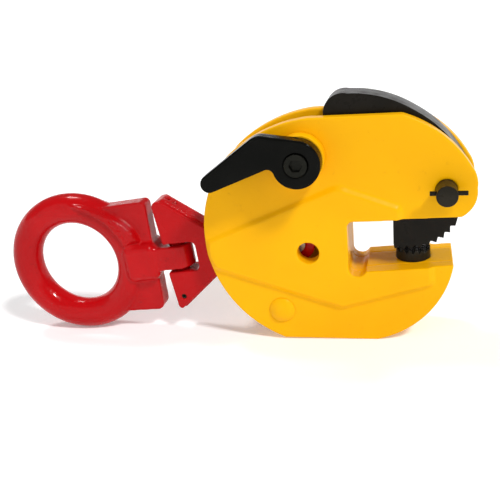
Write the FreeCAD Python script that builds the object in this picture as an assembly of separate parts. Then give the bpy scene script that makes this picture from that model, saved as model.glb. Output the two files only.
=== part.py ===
import FreeCAD, Part
import math
import os

from FreeCAD import Vector

# Vertical plate lifting clamp, in millimetres.
# +X runs from the lifting ring to the jaw mouth, +Y runs from the lever side to the back, +Z is up.
# The origin is on the flat base, midway between the two cheeks.

# driving dimensions
gapHalf = 10.0            # half the space between the cheeks
cheekThick = 7.3
webRise = 2.2             # the raised web on each cheek's outer face
webSlope = 3.0
runFit = 0.05             # radial clearance of pins that turn
pivot = (62.7, 85.6)      # cam pin
shaftAt = (-10.6, 105.0)  # lever shaft
linkTop = (40.0, 103.0)   # pin between cam and link
linkLow = (-17.0, 53.0)   # pin between link and pull plate
padAt = 45.9              # jaw pad's axis
padTop = 49.0
chainTilt = 5.5           # slope of the pull plate and the ring, in degrees

cheekOut = gapHalf + cheekThick
webOut = cheekOut + webRise

# body outline
bodyRadius = 67.0
bodyMid = (0.0, 62.0)
baseLeft = -25.4
baseRight = 27.0
chin = (55.2, 17.8)
roofZ = 124.8
ledgeCorner = (66.9, 44.4)
mouthCorner = (70.4, 70.8)

# cam
camHalf = 9.0
camPinR = 5.4
hubR = 12.3
toothPitch = 4.4
toothUndercut = 0.4       # how far each valley lies inside the tip before it
toothStart = 283.0        # polar angle of the shortest tooth about the pivot
toothEnd = 236.0
toothRadius = 22.8        # radius of the shortest tooth
toothGrow = 0.425         # radius gained by each degree round the spiral
forkHalf = 4.0            # half the slot that takes the link

# link, pull plate and ring, measured along the chain from the lower link pin
linkHalf = 3.7
pinR = 4.5
eyeR = 9.0
tongueR = 10.0
plateHalf = 8.0
plateApex = -30.0
plateEdge = -78.4
plateLean = 1.6           # the edge beside the ring leans this far at its ends
plateRise = 33.0          # half the height of the pull plate
plateBevel = 2.6
notchMid = -1.2
notchHalf = 8.9
notchEnd = -59.0
hingeU = -72.2
hingeR = 4.5
hingeLow = -29.0
hingeHigh = 30.0
rollAt = -25.7            # the roll pin that holds the hinge pin
rollR = 1.5
knuckleR = 9.0
knuckleHalf = 6.9
ringU = -136.3
ringR = 34.0
ringTube = 9.0
wingU = -84.6             # edge of the ring's wings beside the pull plate
wingLean = 2.2            # the wings' edge is this much shorter at the bottom
wingHalf = 5.6
wingRise = 33.8

# lever
leverBack = 25.6
leverFront = 35.8
shaftEnd = 30.6           # the shaft's end, in the lever's hub
screwR = 3.0
headR = 5.9
headSeat = 32.8
shaftR = 5.0
bushR = 7.5
bossR = 13.0
hubRadius = 12.4
crankLength = 10.0
crankAngle = 265.0
crankPinR = 2.5
springPin = (14.0, 113.0)

# fasteners of the body
accessAt = (-9.4, 52.1)   # hole through which the lower link pin is fitted
accessR = 6.0
rivetAt = (-26.0, 17.4)
rivetR = 5.0
dowelsAt = ((20.0, 20.0), (44.0, 22.0))
dowelR = 3.0
dowelHalf = 14.0

# jaw pad
padR = 9.2
padSeat = 42.9
stemR = 5.0
stemEnd = 27.5
snapOuter = 5.9
snapThick = 1.2
snapZ = 31.0


def flat(start, *steps):
    """Face in the plane y = 0; a step of 2 numbers is a line, one of 4 an arc by way of a point."""
    edges = []
    here = Vector(start[0], 0, start[1])
    for step in steps:
        there = Vector(step[-2], 0, step[-1])
        if len(step) == 4:
            edges.append(Part.Arc(here, Vector(step[0], 0, step[1]), there).toShape())
        else:
            edges.append(Part.LineSegment(here, there).toShape())
        here = there
    return Part.Face(Part.Wire(edges))


def slab(face, low, high):
    """Solid of a flat face between two values of y."""
    solid = face.extrude(Vector(0, high - low, 0))
    solid.translate(Vector(0, low, 0))
    return solid


def rod(at, radius, low, high):
    """Round bar along y."""
    return Part.makeCylinder(radius, high - low, Vector(at[0], low, at[1]), Vector(0, 1, 0))


def tube(at, inner, outer, low, high):
    return rod(at, outer, low, high).cut(rod(at, inner, low, high))


def polar(centre, radius, degrees):
    turn = math.radians(degrees)
    return (centre[0] + radius * math.cos(turn), centre[1] + radius * math.sin(turn))


def onChain(shape):
    """Move a shape drawn along the chain, with its zero at the lower link pin, into place."""
    shape.rotate(Vector(0, 0, 0), Vector(0, 1, 0), -chainTilt)
    shape.translate(Vector(linkLow[0], 0, linkLow[1]))
    return shape


def save(name, solids):
    shape = solids[0] if len(solids) == 1 else Part.makeCompound(solids)
    shape.exportStep("parts/" + name + ".step")


def bodyFace():
    """Side view of the body without its throat."""
    lowLeft = (baseLeft, 0.0)
    lowRight = (baseRight, 0.0)
    left = (bodyMid[0] - bodyRadius, bodyMid[1])
    shoulder = polar(bodyMid, bodyRadius, 139)
    return flat(
        lowRight, chin + ledgeCorner, mouthCorner,
        (76.2, 76.4, 78.0, 86.0), (77.8, 91.4, 75.6, 96.2), (62.0, 112.9, 41.0, roofZ),
        (-7.0, roofZ), (-31.5, 118.2) + shoulder, left + lowLeft, lowRight)


def throatCut():
    """Space that a plate enters, with its relieved inner corners."""
    return slab(
        flat((16.0, 69.5), (13.0, 68.7, 12.1, 66.0), (12.1, 43.1), (13.4, 39.8, 16.7, 38.5),
             (19.9, 39.5, 21.2, 41.3), ledgeCorner, (80, 45), (80, 71), mouthCorner, (16.0, 69.5)),
        -webOut - 1, webOut + 1)


def webFace():
    """Raised web that runs round the throat to the back of the body."""
    return flat(
        (-66.0, 60.2), (3.0, 88.4), (8.0, 89.6, 13.0, 88.2), (37.0, 79.4), (40.6, 77.2, 41.4, 72.5),
        (41.4, 60.0), (57.4, 60.0), (57.4, 38.0), (56.6, 32.4, 51.6, 30.2), (12.0, 18.9),
        (8.0, 18.2, 4.0, 19.2), (-62.6, 41.0), (-66.6, 50.0, -66.0, 60.2))


def cheek(side):
    """One cheek; side is -1 for the lever side and 1 for the back."""
    plate = slab(bodyFace(), gapHalf, cheekOut)
    foot = webFace().OuterWire
    crest = foot.makeOffset2D(-webSlope)
    foot.translate(Vector(0, cheekOut - 0.2, 0))
    crest.translate(Vector(0, webOut, 0))
    web = Part.makeLoft([foot, crest], True, True)
    plate = plate.fuse(web.common(slab(bodyFace(), gapHalf, webOut)))
    plate = plate.cut(throatCut())
    for at, radius in ((pivot, camPinR + runFit), (accessAt, accessR),
                       (rivetAt, rivetR), (shaftAt, bushR)):
        plate = plate.cut(rod(at, radius, 0, webOut + 1))
    for at in dowelsAt:
        plate = plate.cut(rod(at, dowelR + 0.02, 0, dowelHalf + 0.1))
    if side < 0:
        plate = plate.mirror(Vector(0, 0, 0), Vector(0, 1, 0))
    return plate.removeSplitter()


def jawCore():
    """Block between the cheeks that makes the lower jaw and the end wall of the throat."""
    outline = flat(
        (-8.0, 0.0), (baseRight, 0.0), chin + ledgeCorner,
        (66.0, 60.0), (12.1, 60.0), (12.1, 67.0), (7.0, 65.0), (5.0, 58.0), (5.0, 44.0),
        (-8.0, 24.0), (-8.0, 0.0))
    core = slab(outline, -gapHalf, gapHalf).cut(throatCut())
    core = core.cut(Part.makeCylinder(stemR + runFit, 30, Vector(padAt, 0, stemEnd - 0.3)))
    core = core.cut(Part.makeCylinder(snapOuter + 0.3, snapThick + 0.4, Vector(padAt, 0, snapZ - 0.2)))
    core = core.cut(Part.makeCylinder(padR + 0.35, 5, Vector(padAt, 0, padSeat - 0.3)))
    for at in dowelsAt:
        core = core.cut(rod(at, dowelR + 0.02, -gapHalf, gapHalf))
    return core


def jawPad():
    """Swivelling fixed-jaw pad: toothed crown, flange and stem."""
    crown = Part.makeCylinder(padR, padTop - padSeat, Vector(padAt, 0, padSeat))
    for row in range(-2, 3):
        valley = flat((row * 3.4 - 1.1, padTop + 0.1), (row * 3.4 + 1.1, padTop + 0.1),
                      (row * 3.4, padTop - 1.7), (row * 3.4 - 1.1, padTop + 0.1))
        bar = slab(valley, -12, 12)
        bar.translate(Vector(padAt, 0, 0))
        crown = crown.cut(bar)
        cross = slab(valley, -12, 12)
        cross.rotate(Vector(0, 0, 0), Vector(0, 0, 1), 90)
        cross.translate(Vector(padAt, 0, 0))
        crown = crown.cut(cross)
    stem = Part.makeCylinder(stemR, padSeat - stemEnd, Vector(padAt, 0, stemEnd))
    pad = crown.fuse(stem)
    groove = Part.makeCylinder(20, snapThick, Vector(padAt, 0, snapZ))
    groove = groove.cut(Part.makeCylinder(stemR - 0.7, snapThick, Vector(padAt, 0, snapZ)))
    return pad.cut(groove)


def snapRing():
    ring = Part.makeCylinder(snapOuter, snapThick - 0.1, Vector(padAt, 0, snapZ + 0.05))
    ring = ring.cut(Part.makeCylinder(stemR - 0.65, snapThick, Vector(padAt, 0, snapZ)))
    return ring.cut(Part.makeBox(10, 2, 4, Vector(padAt, -1, snapZ - 1)))


def camJaw():
    """Toothed cam with its tall rounded back and a fork for the link."""
    teeth = []
    angle = toothStart
    while angle > toothEnd:
        reach = toothRadius + toothGrow * (toothStart - angle)
        step = math.degrees(toothPitch / math.hypot(reach, math.degrees(toothGrow)))
        teeth.append(polar(pivot, reach, angle))
        teeth.append(polar(pivot, reach - toothUndercut, angle - 0.9 * step))
        angle = angle - step
    teeth.append(polar(pivot, toothRadius + toothGrow * (toothStart - angle), angle))
    outline = flat(
        (13.5, 135.0), (32.6, 132.0, 46.3, 125.6), (62.6, 112.6, 73.6, 96.4), (75.2, 87.0, 71.4, 77.6),
        (69.2, 69.0), *teeth, (35.6, 53.5), (35.6, 74.0), (30.0, 90.0, 19.0, 101.0),
        (5.0, 111.0), (0.8, 117.0, 0.9, 124.8), (4.3, 132.8, 13.5, 135.0))
    cam = slab(outline, -camHalf, camHalf)
    slot = flat(
        (-5.0, 96.0), (-5.0, 120.0), (8.0, 127.0), (24.0, 127.4), (41.0, 119.5), (50.5, 112.0),
        (54.0, 103.0, 49.0, 93.5), (43.8, 90.5), (40.8, 76.0), (37.6, 62.0), (36.8, 48.0), (20.0, 60.0),
        (-5.0, 96.0))
    cam = cam.cut(slab(slot, -forkHalf, forkHalf))
    cam = cam.cut(rod(pivot, camPinR + runFit, -20, 20))
    cam = cam.cut(rod(linkTop, pinR + runFit, -20, 20))
    return cam.cut(rod(springPin, 1.6, -20, 20))


def linkBar():
    """Straight link with an eye at each end, from the cam's fork to the pull plate's fork."""
    length = math.hypot(linkTop[0] - linkLow[0], linkTop[1] - linkLow[1])
    slope = math.degrees(math.atan2(linkTop[1] - linkLow[1], linkTop[0] - linkLow[0]))
    neck = 4.6
    bar = rod((0, 0), eyeR, -linkHalf, linkHalf)
    bar = bar.fuse(rod((length, 0), eyeR, -linkHalf, linkHalf))
    bar = bar.fuse(Part.makeBox(length, 2 * linkHalf, 2 * neck, Vector(0, -linkHalf, -neck)))
    for at in (0, length):
        bar = bar.cut(rod((at, 0), pinR + runFit, -9, 9))
    bar.rotate(Vector(0, 0, 0), Vector(0, 1, 0), -slope)
    bar.translate(Vector(linkLow[0], 0, linkLow[1]))
    return bar.removeSplitter()


def bevels(start, end):
    """Wedges that bevel both long corners of the pull plate's edge from start to end."""
    along = Vector(end[0] - start[0], 0, end[1] - start[1])
    out = Vector(along.z, 0, -along.x).normalize() * -1
    base = Vector(start[0], 0, start[1])
    wedges = []
    for side in (-1, 1):
        inner = base - out * (plateBevel + 1) + Vector(0, side * (plateHalf + 1), 0)
        lower = base + out + Vector(0, side * (plateHalf - plateBevel - 1), 0)
        outer = base + out + Vector(0, side * (plateHalf + 1), 0)
        wedges.append(Part.Face(Part.makePolygon([inner, lower, outer, inner])).extrude(along))
    return wedges


def pullPlate():
    """Triangular plate: a forked tongue for the link, and a notch with a pin for the ring."""
    flare = math.tan(math.radians(37.9))
    tongue = plateApex - tongueR / flare
    corner = plateApex - plateRise / flare
    edgeTop = plateEdge - plateLean
    edgeLow = plateEdge + plateLean
    outline = flat(
        (0, tongueR), (tongueR, 0.0, 0.0, -tongueR), (tongue, -tongueR), (corner, -plateRise),
        (edgeLow + 0.5, -plateRise + 0.7, edgeLow, -plateRise + 3),
        (plateEdge, notchMid - notchHalf - 1),
        (plateEdge + 0.4, notchMid - notchHalf, plateEdge + 2, notchMid - notchHalf),
        (notchEnd - 3, notchMid - notchHalf),
        (notchEnd - 0.9, notchMid - notchHalf + 0.9, notchEnd, notchMid - notchHalf + 3),
        (notchEnd, notchMid + notchHalf - 3),
        (notchEnd - 0.9, notchMid + notchHalf - 0.9, notchEnd - 3, notchMid + notchHalf),
        (plateEdge + 2, notchMid + notchHalf),
        (plateEdge + 0.4, notchMid + notchHalf, plateEdge, notchMid + notchHalf + 1),
        (edgeTop, plateRise - 3), (edgeTop + 0.9, plateRise - 0.6, edgeTop + 3, plateRise + 0.4),
        (corner - 2, plateRise + 0.6), (corner, plateRise),
        (tongue, tongueR), (0, tongueR))
    plate = slab(outline, -plateHalf, plateHalf)
    for start, end in (((tongue, tongueR), (corner - 6, plateRise + 6 * flare)),
                       ((corner - 6, -plateRise - 6 * flare), (tongue, -tongueR))):
        for wedge in bevels(start, end):
            plate = plate.cut(wedge)
    plate = plate.cut(Part.makeBox(30, 2 * forkHalf, 40, Vector(-11, -forkHalf, -20)))
    plate = plate.cut(rod((0, 0), pinR + runFit, -20, 20))
    plate = plate.cut(Part.makeCylinder(hingeR + 0.02, hingeHigh - hingeLow, Vector(hingeU, 0, hingeLow)))
    plate = plate.cut(Part.makeCylinder(1.3, 20, Vector(hingeU, 0, hingeHigh - 1)))
    plate = plate.cut(rod((hingeU, rollAt), rollR + 0.02, -20, 20))
    return onChain(plate)


def hingePin():
    """Pin that the ring's knuckle turns on, held by a roll pin near its lower end."""
    pin = Part.makeCylinder(hingeR, hingeHigh - hingeLow - 0.1, Vector(hingeU, 0, hingeLow + 0.05))
    return onChain(pin.cut(rod((hingeU, rollAt), rollR + 0.02, -20, 20)))


def rollPin():
    return onChain(tube((hingeU, rollAt), 0.8, rollR, -plateHalf + 0.8, plateHalf - 0.8))


def liftingRing():
    """Forged eye with two wings and the knuckle between them."""
    ring = Part.makeTorus(ringR, ringTube, Vector(ringU, 0, 0), Vector(0, 1, 0))
    root = ringU + 22
    lowU = wingU - wingLean
    wings = slab(flat(
        (root, wingRise - 0.6), (wingU - 3, wingRise), (wingU - 0.9, wingRise - 0.9, wingU, wingRise - 3),
        (lowU, -wingRise + 4), (lowU - 1.2, -wingRise + 1.2, lowU - 4, -wingRise),
        (root, -wingRise + 0.6), (root, wingRise - 0.6)), -wingHalf, wingHalf)
    wings = wings.cut(rod((ringU, 0), ringR + 2, -20, 20))
    stemFrom = ringU + ringR - 2
    stem = Part.makeBox(hingeU - stemFrom, 2 * knuckleR, 2 * knuckleHalf,
                        Vector(stemFrom, -knuckleR, notchMid - knuckleHalf))
    boss = Part.makeBox(wingU + 1.2 - stemFrom, 23, 23, Vector(stemFrom, -11.5, -13.5))
    boss = boss.makeChamfer(3, boss.Edges)
    knuckle = Part.makeCylinder(knuckleR, 2 * knuckleHalf, Vector(hingeU, 0, notchMid - knuckleHalf))
    ring = ring.fuse(wings).fuse(stem).fuse(knuckle).fuse(boss)
    bore = Part.makeCylinder(hingeR + runFit, 60, Vector(hingeU, 0, -30))
    return onChain(ring.cut(bore).removeSplitter())


def leverArm():
    """Cast lock lever with a round hub."""
    outline = flat(
        polar(shaftAt, hubRadius, 84), (-29.5, 120.4), (-32.4, 119.4), (-58.4, 100.6),
        (-61.0, 95.6, -55.8, 91.4), (-27.4, 102.4), (-24.6, 103.0) + polar(shaftAt, hubRadius, 205),
        polar(shaftAt, hubRadius, 260) + polar(shaftAt, hubRadius, 315),
        polar(shaftAt, hubRadius, 20) + polar(shaftAt, hubRadius, 84))
    arm = slab(outline, -leverFront, -leverBack)
    arm = arm.cut(rod(shaftAt, screwR + 0.1, -leverFront, -leverBack))
    arm = arm.cut(rod(shaftAt, headR + 0.2, -leverFront - 1, -headSeat))
    arm = arm.cut(rod(shaftAt, shaftR + 0.02, -shaftEnd, -leverBack))
    return arm.cut(Part.makeCylinder(1.1, 24, Vector(shaftAt[0], -leverBack - 2.5, shaftAt[1] - 4)))


def leverShaft():
    shaft = rod(shaftAt, shaftR, -shaftEnd + 0.05, cheekOut + 0.5)
    shaft = shaft.cut(rod(shaftAt, screwR + 0.02, -shaftEnd, -leverBack + 12))
    shaft = shaft.cut(Part.makeCylinder(1.1, 12, Vector(shaftAt[0], -leverBack - 2.5, shaftAt[1] + 3.1)))
    return shaft.cut(Part.makeCylinder(1.25, 14, Vector(shaftAt[0], -7.6, shaftAt[1] - 7)))


def leverScrew():
    """Socket cap screw that clamps the lever to its shaft."""
    head = rod(shaftAt, headR, -leverFront - 0.8, -headSeat)
    head = head.cut(hexagon(shaftAt, 3.4, -leverFront - 1, -headSeat - 0.8))
    return head.fuse(rod(shaftAt, screwR, -headSeat, -leverBack + 11))


def leverPin():
    return Part.makeCylinder(1.05, 8.6, Vector(shaftAt[0], -leverBack - 2.5, shaftAt[1] + 3.2))


def hexagon(at, reach, low, high):
    corners = []
    for index in range(7):
        corners.append(polar(at, reach, 60 * index))
    return slab(flat(corners[0], *corners[1:]), low, high)


def crank():
    """Arm on the shaft between the cheeks, and the pin that holds the spring."""
    end = polar(shaftAt, crankLength, crankAngle)
    arm = rod(shaftAt, 8.2, -9.6, -5.6).fuse(rod(end, 4.4, -9.6, -5.6))
    side = polar((0, 0), 4.4, crankAngle + 90)
    arm = arm.fuse(slab(flat(
        (shaftAt[0] + side[0], shaftAt[1] + side[1]), (end[0] + side[0], end[1] + side[1]),
        (end[0] - side[0], end[1] - side[1]), (shaftAt[0] - side[0], shaftAt[1] - side[1]),
        (shaftAt[0] + side[0], shaftAt[1] + side[1])), -9.6, -5.6))
    arm = arm.cut(rod(shaftAt, shaftR + 0.02, -20, 20))
    keyBore = Part.makeCylinder(1.25, 22, Vector(shaftAt[0], -7.6, shaftAt[1] - 7.1))
    return arm.cut(keyBore).cut(rod(end, crankPinR + 0.02, -20, 0))


def lockSpring():
    """Tension spring from the crank pin to the cam's spring pin: hooks and a round coil."""
    low = polar(shaftAt, crankLength, crankAngle)
    span = Vector(springPin[0] - low[0], 0, springPin[1] - low[1])
    length = span.Length
    way = span.normalize()
    start = Vector(low[0], 0, low[1])
    coilFrom = start + way * 11.5
    coil = Part.makeCylinder(3.4, length - 20.0, coilFrom, way)
    coil = coil.cut(Part.makeCylinder(2.2, length, coilFrom - way * 2, way))
    pieces = coil
    for centre, hold, facing in ((start, crankPinR, way), (start + way * length, 1.6, way * -1)):
        hook = Part.makeTorus(hold + 0.75, 0.6, centre, Vector(0, 1, 0))
        shank = Part.makeCylinder(0.6, 11.8 - hold - 0.75, centre + facing * (hold + 0.75), facing)
        pieces = pieces.fuse(hook)
        if facing == way:
            pieces = pieces.fuse(shank)
        else:
            tail = Part.makeCylinder(0.6, 9.0 - hold - 0.75, centre + facing * (hold + 0.75), facing)
            pieces = pieces.fuse(tail)
    disc = Part.makeCylinder(3.4, 1.2, coilFrom, way)
    far = Part.makeCylinder(3.4, 1.2, coilFrom + way * (length - 21.2), way)
    return pieces.fuse(disc).fuse(far)


def camPin():
    """Cam pin with a flat head at the back and a cross hole near its front end."""
    pin = rod(pivot, camPinR, -29.6, cheekOut + 0.3).fuse(rod(pivot, 8.0, cheekOut + 0.1, cheekOut + 4.2))
    cross = Part.makeCylinder(1.3, 40, Vector(pivot[0] - 20, -24.6, pivot[1] + 0.4), Vector(1, 0, 0))
    return pin.cut(cross)


def splitPin():
    return Part.makeCylinder(1.2, 18.6, Vector(pivot[0] - 8.4, -24.6, pivot[1] + 0.4), Vector(1, 0, 0))


def lowerRivet():
    """Body rivet with a domed head on each side."""
    rivet = rod(rivetAt, rivetR - 0.05, -cheekOut - 0.4, cheekOut + 0.4)
    dome = 10.8
    for side in (-1, 1):
        ball = Part.makeSphere(dome, Vector(rivetAt[0], side * (cheekOut + 3.2 - dome), rivetAt[1]))
        cap = ball.common(rod(rivetAt, 12, *sorted((side * cheekOut, side * (cheekOut + 6)))))
        rivet = rivet.fuse(cap)
    return rivet


os.makedirs("parts", exist_ok=True)

save("front_cheek", [cheek(-1)])
save("rear_cheek", [cheek(1)])
save("jaw_core", [jawCore()])
save("core_dowels", [rod(at, dowelR, -dowelHalf, dowelHalf) for at in dowelsAt])
save("lower_rivet", [lowerRivet()])
save("rivet_spacer", [tube(rivetAt, rivetR, rivetR + 2.5, -gapHalf, gapHalf)])
save("lever_boss", [tube(shaftAt, bushR, bossR, -leverBack + 0.4, -cheekOut)])
save("front_bush", [tube(shaftAt, shaftR + runFit, bushR - 0.02, -leverBack + 0.2, -gapHalf)])
save("rear_bush", [tube(shaftAt, shaftR + runFit, bushR - 0.02, gapHalf, cheekOut)])
save("cam_pin", [camPin()])
save("cam_split_pin", [splitPin()])
save("cam_washers", [tube(pivot, camPinR + 0.05, 8.6, -gapHalf + 0.05, -camHalf - 0.1),
                     tube(pivot, camPinR + 0.05, 8.6, camHalf + 0.1, gapHalf - 0.05)])
save("jaw_pad", [jawPad()])
save("pad_snap_ring", [snapRing()])
save("cam_jaw", [camJaw()])
save("cam_link_pin", [rod(linkTop, pinR, -8.8, 8.8)])
save("cam_spring_pin", [rod(springPin, 1.55, -8.8, 8.8)])
save("link_bar", [linkBar()])
save("plate_pin", [rod(linkLow, pinR, -8.8, 8.8)])
save("pull_plate", [pullPlate()])
save("ring_hinge_pin", [hingePin()])
save("hinge_roll_pin", [rollPin()])
save("lifting_ring", [liftingRing()])
save("lock_lever", [leverArm()])
save("lever_shaft", [leverShaft()])
save("lever_screw", [leverScrew()])
save("lever_roll_pin", [leverPin()])
save("crank_arm", [crank()])
save("crank_key_pin", [Part.makeCylinder(1.2, 14.6, Vector(shaftAt[0], -7.6, shaftAt[1] - 7.0))])
save("crank_pin", [rod(polar(shaftAt, crankLength, crankAngle), crankPinR, -9.6, 2.4)])
save("lock_spring", [lockSpring()])
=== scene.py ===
import math
import bpy
from mathutils import Matrix, Vector, noise


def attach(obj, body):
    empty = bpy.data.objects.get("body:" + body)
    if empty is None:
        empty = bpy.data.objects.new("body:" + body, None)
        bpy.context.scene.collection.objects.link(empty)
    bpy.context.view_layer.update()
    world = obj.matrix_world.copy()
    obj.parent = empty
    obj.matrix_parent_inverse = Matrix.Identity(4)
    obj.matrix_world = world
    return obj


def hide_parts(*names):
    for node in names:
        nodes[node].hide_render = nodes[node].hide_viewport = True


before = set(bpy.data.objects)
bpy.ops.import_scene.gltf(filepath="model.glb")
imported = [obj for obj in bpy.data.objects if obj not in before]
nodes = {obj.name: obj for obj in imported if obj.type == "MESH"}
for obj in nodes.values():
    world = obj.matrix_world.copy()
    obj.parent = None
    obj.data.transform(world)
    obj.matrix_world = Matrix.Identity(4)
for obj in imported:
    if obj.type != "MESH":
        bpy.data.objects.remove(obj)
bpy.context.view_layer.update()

mm = 0.001


def newMaterial(name):
    material = bpy.data.materials.new(name)
    material.use_nodes = True
    tree = material.node_tree
    tree.nodes.clear()
    output = tree.nodes.new("ShaderNodeOutputMaterial")
    shader = tree.nodes.new("ShaderNodeBsdfPrincipled")
    tree.links.new(shader.outputs["BSDF"], output.inputs["Surface"])
    return material, tree, shader


def addNoise(tree, scale, detail=3.0, roughness=0.5, stretch=(1, 1, 1)):
    coordinates = tree.nodes.new("ShaderNodeTexCoord")
    mapping = tree.nodes.new("ShaderNodeMapping")
    mapping.inputs["Scale"].default_value = stretch
    cloud = tree.nodes.new("ShaderNodeTexNoise")
    cloud.inputs["Scale"].default_value = scale
    cloud.inputs["Detail"].default_value = detail
    cloud.inputs["Roughness"].default_value = roughness
    tree.links.new(coordinates.outputs["Object"], mapping.inputs["Vector"])
    tree.links.new(mapping.outputs["Vector"], cloud.inputs["Vector"])
    return cloud.outputs["Fac"]


def addRange(tree, value, low, high, fromLow=0.3, fromHigh=0.7):
    ranger = tree.nodes.new("ShaderNodeMapRange")
    ranger.inputs["From Min"].default_value = fromLow
    ranger.inputs["From Max"].default_value = fromHigh
    ranger.inputs["To Min"].default_value = low
    ranger.inputs["To Max"].default_value = high
    tree.links.new(value, ranger.inputs["Value"])
    return ranger.outputs["Result"]


def addMix(tree, factor, first, second):
    mix = tree.nodes.new("ShaderNodeMix")
    mix.data_type = "RGBA"
    tree.links.new(factor, mix.inputs["Factor"])
    coloursIn, colourOut = (6, 7), 2             # the places of the Mix node's colour sockets
    for place, value in zip(coloursIn, (first, second)):
        if isinstance(value, tuple):
            mix.inputs[place].default_value = value + (1.0,)
        else:
            tree.links.new(value, mix.inputs[place])
    return mix.outputs[colourOut]


def addBump(tree, shader, layers):
    # each layer is (height, strength, distance in mm), coarse first
    normal = None
    for height, strength, distance in layers:
        bump = tree.nodes.new("ShaderNodeBump")
        bump.inputs["Strength"].default_value = strength
        bump.inputs["Distance"].default_value = distance * mm
        tree.links.new(height, bump.inputs["Height"])
        if normal is not None:
            tree.links.new(normal, bump.inputs["Normal"])
        normal = bump.outputs["Normal"]
    tree.links.new(normal, shader.inputs["Normal"])


finishes = {}
# noise settings that every finish shares: detail and roughness of each use, and where the specks start
shared = {"cloudDetail": 4.0, "speckDetail": 6.0, "speckRough": 0.65, "speckFrom": 0.62, "speckTo": 0.72,
          "glossDetail": 5.0, "glossRough": 0.6, "reliefDetail": 3.0, "reliefRough": 0.55}


def makeFinish(name, look):
    # two close colours blended by cloudy noise, uneven gloss, and up to three scales of relief
    material, tree, shader = newMaterial(name)
    cloud = addRange(tree, addNoise(tree, look["cloudScale"], shared["cloudDetail"]), 0.0, 1.0)
    colour = addMix(tree, cloud, look["colour"], look["colourTwo"])
    if "speck" in look:
        specks = addNoise(tree, look["speckScale"], shared["speckDetail"], shared["speckRough"])
        mask = addRange(tree, specks, 0.0, look["speckAmount"], shared["speckFrom"], shared["speckTo"])
        colour = addMix(tree, mask, colour, look["speck"])
    tree.links.new(colour, shader.inputs["Base Color"])
    patches = addNoise(tree, look["glossScale"], shared["glossDetail"], shared["glossRough"])
    gloss = addRange(tree, patches, look["roughLow"], look["roughHigh"])
    tree.links.new(gloss, shader.inputs["Roughness"])
    shader.inputs["Metallic"].default_value = look.get("metallic", 0.0)
    shader.inputs["Coat Weight"].default_value = look.get("coat", 0.0)
    shader.inputs["Coat Roughness"].default_value = look.get("coatRough", 0.1)
    shader.inputs["Specular IOR Level"].default_value = look.get("specular", 0.5)
    layers = []
    stretch = look.get("stretch", (1, 1, 1))
    for scale, strength, depth in look["relief"]:
        height = addNoise(tree, scale, shared["reliefDetail"], shared["reliefRough"], stretch)
        layers.append((height, strength, depth))
    addBump(tree, shader, layers)
    finishes[name] = material


makeFinish("yellowEnamel", {
    "colour": (0.87, 0.435, 0.0008), "colourTwo": (0.80, 0.385, 0.0008),
    "cloudScale": 22, "glossScale": 90,
    "speck": (0.64, 0.27, 0.001), "speckScale": 260, "speckAmount": 0.35,
    "roughLow": 0.30, "roughHigh": 0.44, "coat": 0.03, "coatRough": 0.12, "specular": 0.08,
    "relief": ((70, 0.45, 0.6), (420, 0.25, 0.18), (1500, 0.10, 0.04))})
makeFinish("redEnamel", {
    "colour": (0.47, 0.0030, 0.005), "colourTwo": (0.37, 0.002, 0.0035),
    "cloudScale": 30, "glossScale": 120,
    "speck": (0.20, 0.002, 0.003), "speckScale": 240, "speckAmount": 0.5,
    "roughLow": 0.14, "roughHigh": 0.30, "coat": 0.22, "coatRough": 0.05, "specular": 0.05,
    "relief": ((110, 0.60, 0.8), (380, 0.60, 0.40), (1300, 0.25, 0.08))})
makeFinish("redPlate", {
    "colour": (0.47, 0.0030, 0.005), "colourTwo": (0.39, 0.0025, 0.004),
    "cloudScale": 30, "glossScale": 110,
    "speck": (0.22, 0.002, 0.003), "speckScale": 260, "speckAmount": 0.35,
    "roughLow": 0.18, "roughHigh": 0.34, "coat": 0.14, "coatRough": 0.07, "specular": 0.06,
    "relief": ((120, 0.30, 0.5), (450, 0.35, 0.20), (1500, 0.15, 0.05))})
makeFinish("camBlack", {
    "colour": (0.0060, 0.0052, 0.0034), "colourTwo": (0.011, 0.009, 0.006),
    "cloudScale": 60, "glossScale": 150,
    "speck": (0.003, 0.003, 0.002), "speckScale": 420, "speckAmount": 0.6,
    "roughLow": 0.24, "roughHigh": 0.42, "coat": 0.04, "coatRough": 0.12, "specular": 0.08,
    "relief": ((240, 0.25, 0.25), (900, 0.30, 0.12), (2400, 0.15, 0.04))})
makeFinish("leverBlack", {
    "colour": (0.0022, 0.0024, 0.0018), "colourTwo": (0.0045, 0.0045, 0.0038),
    "cloudScale": 40, "glossScale": 130,
    "roughLow": 0.14, "roughHigh": 0.26, "coat": 0.06, "coatRough": 0.05, "specular": 0.025,
    "relief": ((90, 0.50, 0.9), (420, 0.30, 0.22), (2000, 0.10, 0.03))})
makeFinish("oxideSteel", {
    "colour": (0.012, 0.010, 0.006), "colourTwo": (0.022, 0.018, 0.012),
    "cloudScale": 120, "glossScale": 260,
    "speck": (0.006, 0.005, 0.003), "speckScale": 700, "speckAmount": 0.6,
    "roughLow": 0.24, "roughHigh": 0.40, "metallic": 0.10, "specular": 0.10,
    "relief": ((500, 0.20, 0.10), (1800, 0.15, 0.04))})
makeFinish("screwBlack", {
    "colour": (0.012, 0.012, 0.009), "colourTwo": (0.007, 0.007, 0.005),
    "cloudScale": 160, "glossScale": 300,
    "roughLow": 0.16, "roughHigh": 0.30, "metallic": 0.7, "specular": 0.2,
    "relief": ((300, 0.20, 0.12), (1800, 0.10, 0.03))})
makeFinish("plainSteel", {
    "colour": (0.36, 0.35, 0.33), "colourTwo": (0.27, 0.26, 0.245),
    "cloudScale": 80, "glossScale": 300,
    "roughLow": 0.24, "roughHigh": 0.42, "metallic": 1.0,
    "relief": ((300, 0.12, 0.08), (2200, 0.12, 0.03)), "stretch": (1, 3, 1)})
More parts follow.
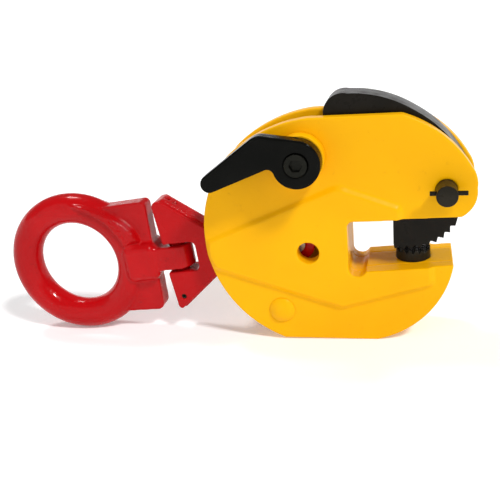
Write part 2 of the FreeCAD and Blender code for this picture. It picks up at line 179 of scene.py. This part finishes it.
makeFinish("bushBronze", {
    "colour": (0.50, 0.30, 0.12), "colourTwo": (0.40, 0.23, 0.09),
    "cloudScale": 90, "glossScale": 260,
    "roughLow": 0.28, "roughHigh": 0.45, "metallic": 1.0,
    "relief": ((400, 0.12, 0.08), (2000, 0.10, 0.03))})
print("finishes ready:", len(finishes))


def shadeSmooth(mesh):
    for polygon in mesh.polygons:
        polygon.use_smooth = True


def smoothPiece(piece, rounds, share=0.5):
    smoother = piece.modifiers.new("soften", "SMOOTH")
    smoother.factor = share
    smoother.iterations = rounds


def settle(piece):
    # applies the piece's modifiers to its mesh
    depsgraph = bpy.context.evaluated_depsgraph_get()
    mesh = bpy.data.meshes.new_from_object(piece.evaluated_get(depsgraph))
    piece.modifiers.clear()
    old = piece.data
    piece.data = mesh
    bpy.data.meshes.remove(old)
    shadeSmooth(mesh)


def softCopy(node, name, voxel, rounds):
    # closes the part's mesh over with even quads, then melts its edges as paint or casting does
    piece = bpy.data.objects.new(name, nodes[node].data.copy())
    bpy.context.collection.objects.link(piece)
    remesh = piece.modifiers.new("remesh", "REMESH")
    remesh.mode = "VOXEL"
    remesh.voxel_size = voxel * mm
    smoothPiece(piece, rounds)
    settle(piece)
    return piece


def ramp(value, low, high):
    share = min(1.0, max(0.0, (value - low) / (high - low)))
    return share * share * (3 - 2 * share)


def melt(piece, weigh, rounds):
    # softens only where weigh(point in metres) is above 0
    group = piece.vertex_groups.new(name="melt")
    for vertex in piece.data.vertices:
        weight = weigh(vertex.co)
        if weight > 0:
            group.add((vertex.index,), weight, "REPLACE")
    smoothPiece(piece, rounds)
    piece.modifiers["soften"].vertex_group = "melt"
    settle(piece)
    piece.vertex_groups.clear()


def dress(piece, finish):
    piece.data.materials.clear()
    piece.data.materials.append(finishes[finish])


softParts = {
    # node: (piece, voxel size in mm, softening rounds, body, slot, finish)
    "front_cheek": ("frontCheek", 0.55, 5, "body", "yellow_paint", "yellowEnamel"),
    "rear_cheek": ("rearCheek", 0.55, 5, "body", "yellow_paint", "yellowEnamel"),
    "jaw_core": ("jawCore", 0.55, 3, "body", "yellow_paint", "yellowEnamel"),
    "lever_boss": ("leverBoss", 0.4, 3, "body", "yellow_paint", "yellowEnamel"),
    "lower_rivet": ("lowerRivet", 0.4, 3, "body", "yellow_paint", "yellowEnamel"),
    "pull_plate": ("pullPlate", 0.45, 4, "plate", "red_paint", "redPlate"),
    "cam_jaw": ("camJaw", 0.25, 1, "cam", "cam_steel", "camBlack"),
    "jaw_pad": ("jawPad", 0.22, 2, "pad", "black_oxide", "oxideSteel"),
    "cam_pin": ("camPin", 0.3, 3, "body", "black_oxide", "oxideSteel"),
    "lever_screw": ("leverScrew", 0.2, 3, "lever", "lever_black", "screwBlack"),
    "lock_lever": ("lockLever", 0.35, 26, "lever", "lever_black", "leverBlack"),
}


def makeSoftParts():
    made = {}
    for node, (name, voxel, rounds, body, slot, finish) in softParts.items():
        piece = softCopy(node, name, voxel, rounds)
        dress(piece, finish)
        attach(piece, body)
        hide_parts(node)
        made[node] = piece
        print("softened", name, len(piece.data.vertices), "vertices")
    return made


made = makeSoftParts()


# the lock lever's hub stands at (x, z), and past its reach the softening fades in, all in mm
lever = {"hub": (-10.6, 105.0), "hubReach": 11.0, "fadeIn": 5, "armRounds": 60}


def leverWeight(point):
    # the arm's long edges, away from the machined hub
    away = math.hypot(point[0] / mm - lever["hub"][0], point[2] / mm - lever["hub"][1])
    return ramp(away, lever["hubReach"], lever["hubReach"] + lever["fadeIn"])


melt(made["lock_lever"], leverWeight, lever["armRounds"])
print("lever arm softened")


# the lower link pin's place in mm, and how far the pull plate and the ring tilt from level
chain = {"linkX": -17.0, "linkZ": 53.0, "tilt": math.radians(5.5)}
ring = {
    "centre": -136.3, "voxel": 0.6, "rounds": 10,
    # edges of the flat land on the ring's crest, on both faces: (angle, inner radius, outer radius)
    "land": ((0, 36.5, 46.0), (24, 36.5, 45.0), (42, 36.6, 41.3),
             (49, 36.7, 39.6), (65, 36.8, 38.9), (80, 37.2, 38.3)),
    "landHeight": 10.9, "landSlope": 0.9, "slopeInside": 0.3,
    "leastAcross": 3, "radiusFrom": 30, "radiusTo": 50,
    "fadeLow": 10, "fadeHigh": 18, "fadeFrom": 66, "fadeTo": 84,
    "grain": ((700, 0.5), (300, 0.4)),           # noise scale per metre, depth in mm
    # the boss that carries the knuckle, melted further than the rest, at (along, across, up)
    "bossAt": (-95.0, 0.0, -2.0), "bossReach": 17.0, "bossCore": 0.55, "bossAcross": 0.6, "bossRounds": 45,
}


def toChain(point):
    # a point in metres to (along, across, up) in mm, from the lower link pin along the pull plate
    x = point[0] / mm - chain["linkX"]
    z = point[2] / mm - chain["linkZ"]
    cosine, sine = math.cos(chain["tilt"]), math.sin(chain["tilt"])
    return x * cosine + z * sine, point[1] / mm, z * cosine - x * sine


def landEdges(angle):
    rows = ring["land"]
    for (first, innerOne, outerOne), (last, innerTwo, outerTwo) in zip(rows, rows[1:]):
        if angle <= last:
            share = (angle - first) / (last - first)
            return innerOne + share * (innerTwo - innerOne), outerOne + share * (outerTwo - outerOne)
    return rows[-1][1:]


def shapeRing(mesh):
    # raises the flat land along the crest, coarse on top as forging leaves it
    slope = ring["landSlope"]
    inside = slope * ring["slopeInside"]
    for vertex in mesh.vertices:
        along, across, up = toChain(vertex.co)
        radius = math.hypot(along - ring["centre"], up)
        angle = math.degrees(math.atan2(up, along - ring["centre"]))
        if angle < 0 or angle > ring["fadeTo"] or abs(across) < ring["leastAcross"]:
            continue
        if radius < ring["radiusFrom"] or radius > ring["radiusTo"]:
            continue
        inner, outer = landEdges(angle)
        rise = ramp(radius, inner - slope, inner + inside)
        fall = ramp(radius, outer - inside, outer + slope)
        mask = rise * (1 - fall)
        fadeIn = ramp(angle, ring["fadeLow"], ring["fadeHigh"])
        fadeOut = ramp(angle, ring["fadeFrom"], ring["fadeTo"])
        mask *= fadeIn * (1 - fadeOut)
        grain = sum(noise.noise(vertex.co * scale) * depth for scale, depth in ring["grain"])
        target = (ring["landHeight"] + grain) * (-1 if across < 0 else 1)
        if abs(across) < abs(target):
            vertex.co.y = (across + (target - across) * mask) * mm


def bossWeight(point):
    place = Vector(toChain(point)) - Vector(ring["bossAt"])
    place.y *= ring["bossAcross"]
    return 1 - ramp(place.length, ring["bossReach"] * ring["bossCore"], ring["bossReach"])


def makeRing():
    piece = softCopy("lifting_ring", "liftingRing", ring["voxel"], ring["rounds"])
    melt(piece, bossWeight, ring["bossRounds"])
    shapeRing(piece.data)
    dress(piece, "redEnamel")
    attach(piece, "ring")
    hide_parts("lifting_ring")
    print("lifting ring", len(piece.data.vertices), "vertices")


makeRing()


spring = {"low": (-11.47, -2.0, 95.04), "high": (14.0, -2.0, 113.0), "coilRadius": 3.0, "wire": 0.55,
          "from": 10.0, "to": 8.0, "turns": 9, "sides": 10, "stepsPerTurn": 22, "hookPoints": 15,
          # each hook's first angle, the step to its next point, and its radius in mm
          "lowHook": (150, 20, 3.0), "highHook": (210, -20, 2.1)}


def tubeMesh(name, points, radius, sides):
    # sweeps a round wire along the points
    verts, faces = [], []
    side = None
    for index, point in enumerate(points):
        before = points[max(0, index - 1)]
        after = points[min(len(points) - 1, index + 1)]
        tangent = (after - before).normalized()
        if side is None:
            side = tangent.orthogonal().normalized()
        side = (side - tangent * side.dot(tangent)).normalized()
        other = tangent.cross(side)
        for turn in range(sides):
            angle = 2 * math.pi * turn / sides
            verts.append(point + (side * math.cos(angle) + other * math.sin(angle)) * radius)
    for index in range(len(points) - 1):
        for turn in range(sides):
            following = (turn + 1) % sides
            here = index * sides
            faces.append((here + turn, here + following, here + sides + following, here + sides + turn))
    faces.append(tuple(reversed(range(sides))))
    faces.append(tuple(range(len(verts) - sides, len(verts))))
    mesh = bpy.data.meshes.new(name)
    mesh.from_pydata([tuple(vert * mm) for vert in verts], [], faces)
    shadeSmooth(mesh)
    return mesh


def hookRoute(centre, way, rise, start, turn, radius):
    route = []
    for step in range(spring["hookPoints"]):
        angle = math.radians(start + turn * step)
        route.append(centre + (way * math.cos(angle) + rise * math.sin(angle)) * radius)
    return route


def makeSpring():
    low, high = Vector(spring["low"]), Vector(spring["high"])
    way = (high - low).normalized()
    across = Vector((0, 1, 0))
    rise = way.cross(across)
    points = hookRoute(low, way, rise, *spring["lowHook"])          # round the crank pin
    coilLength = (high - low).length - spring["from"] - spring["to"]
    count = spring["turns"] * spring["stepsPerTurn"]
    for step in range(count + 1):
        angle = 2 * math.pi * step / spring["stepsPerTurn"]
        centre = low + way * (spring["from"] + coilLength * step / count)
        points.append(centre + (across * math.sin(angle) + rise * math.cos(angle)) * spring["coilRadius"])
    points += hookRoute(high, way, rise, *spring["highHook"])       # round the cam's spring pin
    mesh = tubeMesh("lockSpring", points, spring["wire"], spring["sides"])
    piece = bpy.data.objects.new("lockSpring", mesh)
    bpy.context.collection.objects.link(piece)
    dress(piece, "plainSteel")
    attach(piece, "body")
    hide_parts("lock_spring")
    print("spring made")


makeSpring()


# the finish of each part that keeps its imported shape
keptFinish = {
    "rivet_spacer": "yellowEnamel", "ring_hinge_pin": "redPlate",
    "front_bush": "bushBronze", "rear_bush": "bushBronze",
    "cam_split_pin": "oxideSteel", "hinge_roll_pin": "oxideSteel",
    "core_dowels": "plainSteel", "cam_washers": "plainSteel", "pad_snap_ring": "plainSteel",
    "cam_link_pin": "plainSteel", "cam_spring_pin": "plainSteel", "link_bar": "plainSteel",
    "plate_pin": "plainSteel", "lever_shaft": "plainSteel", "lever_roll_pin": "plainSteel",
    "crank_arm": "plainSteel", "crank_key_pin": "plainSteel", "crank_pin": "plainSteel",
}
for node, finish in keptFinish.items():
    for slot in nodes[node].material_slots:
        slot.link = "OBJECT"
        slot.material = finishes[finish]
print("kept parts dressed:", len(keptFinish))


# place, lens and sensor in mm, angles in degrees, clipStart in metres
camera = {"place": (48.57, -393.5, 198.09), "yaw": 13.5, "pitch": 20.5, "roll": -5.0,
          "lens": 54.0, "sensor": 36.0, "clipStart": 0.01}


def makeCamera():
    data = bpy.data.cameras.new("camera")
    data.lens = camera["lens"]
    data.sensor_width = camera["sensor"]
    data.clip_start = camera["clipStart"]
    holder = bpy.data.objects.new("camera", data)
    turn = Matrix.Rotation(math.radians(camera["yaw"]), 4, "Z")
    turn = turn @ Matrix.Rotation(math.radians(90 - camera["pitch"]), 4, "X")
    turn = turn @ Matrix.Rotation(math.radians(camera["roll"]), 4, "Z")
    holder.matrix_world = Matrix.Translation(Vector(camera["place"]) * mm) @ turn
    bpy.context.collection.objects.link(holder)
    bpy.context.scene.camera = holder
    print("camera placed")


# radii in metres, floorDrop in mm, floorSlope and bendAngle in degrees
studio = {"skyStrength": 0.22, "floorColour": (0.93, 0.93, 0.93), "floorRough": 0.9, "floorShine": 0.1,
          "floorGlow": 0.18, "innerRadii": (0.0, 0.4, 2.0), "flatRadius": 6.0, "bendRadius": 4.0,
          "bendAngle": 70, "bendSteps": 10, "segments": 72, "floorDrop": -0.5, "floorSlope": -1.0}
suns = (
    # name, direction it comes from, strength, apparent size in degrees
    ("keySun", (0.62, -0.50, 0.90), 2.3, 9),
    ("frontSun", (-0.55, -1.0, 0.50), 0.45, 50),
    ("rearSun", (-0.35, 0.30, 1.0), 1.1, 12),
)


def makeFloor():
    # a wide flat disc whose rim bends up out of sight, tilted so that the ring and the base both touch it
    profile = [(radius, 0.0) for radius in studio["innerRadii"] + (studio["flatRadius"],)]
    for step in range(1, studio["bendSteps"] + 1):
        angle = math.radians(studio["bendAngle"] * step / studio["bendSteps"])
        profile.append((studio["flatRadius"] + studio["bendRadius"] * math.sin(angle),
                        studio["bendRadius"] * (1 - math.cos(angle))))
    count = studio["segments"]
    verts = [(0.0, 0.0, 0.0)]
    for radius, height in profile[1:]:
        for turn in range(count):
            angle = 2 * math.pi * turn / count
            verts.append((radius * math.cos(angle), radius * math.sin(angle), height))
    faces = [(0, 1 + turn, 1 + (turn + 1) % count) for turn in range(count)]
    for row in range(len(profile) - 2):
        start = 1 + row * count
        for turn in range(count):
            following = (turn + 1) % count
            faces.append((start + turn, start + count + turn, start + count + following, start + following))
    mesh = bpy.data.meshes.new("floor")
    mesh.from_pydata(verts, [], faces)
    shadeSmooth(mesh)
    floor = bpy.data.objects.new("floor", mesh)
    floor.location = (0, 0, studio["floorDrop"] * mm)
    floor.rotation_euler = (0, math.radians(studio["floorSlope"]), 0)
    bpy.context.collection.objects.link(floor)
    material, tree, shader = newMaterial("paleFloor")
    shader.inputs["Base Color"].default_value = studio["floorColour"] + (1.0,)
    shader.inputs["Roughness"].default_value = studio["floorRough"]
    shader.inputs["Specular IOR Level"].default_value = studio["floorShine"]
    shader.inputs["Emission Color"].default_value = (1, 1, 1, 1)
    shader.inputs["Emission Strength"].default_value = studio["floorGlow"]
    mesh.materials.append(material)


def makeStudio():
    makeFloor()
    world = bpy.data.worlds.new("studio")
    world.use_nodes = True
    sky = world.node_tree.nodes["Background"]
    sky.inputs["Color"].default_value = (1, 1, 1, 1)
    sky.inputs["Strength"].default_value = studio["skyStrength"]
    bpy.context.scene.world = world
    bpy.context.scene.view_settings.view_transform = "Standard"
    for name, source, strength, spread in suns:
        data = bpy.data.lights.new(name, "SUN")
        data.energy = strength
        data.angle = math.radians(spread)
        sun = bpy.data.objects.new(name, data)
        sun.location = source
        sun.rotation_euler = (-Vector(source)).to_track_quat("-Z", "Y").to_euler()
        bpy.context.collection.objects.link(sun)
    print("studio ready")


makeCamera()
makeStudio()
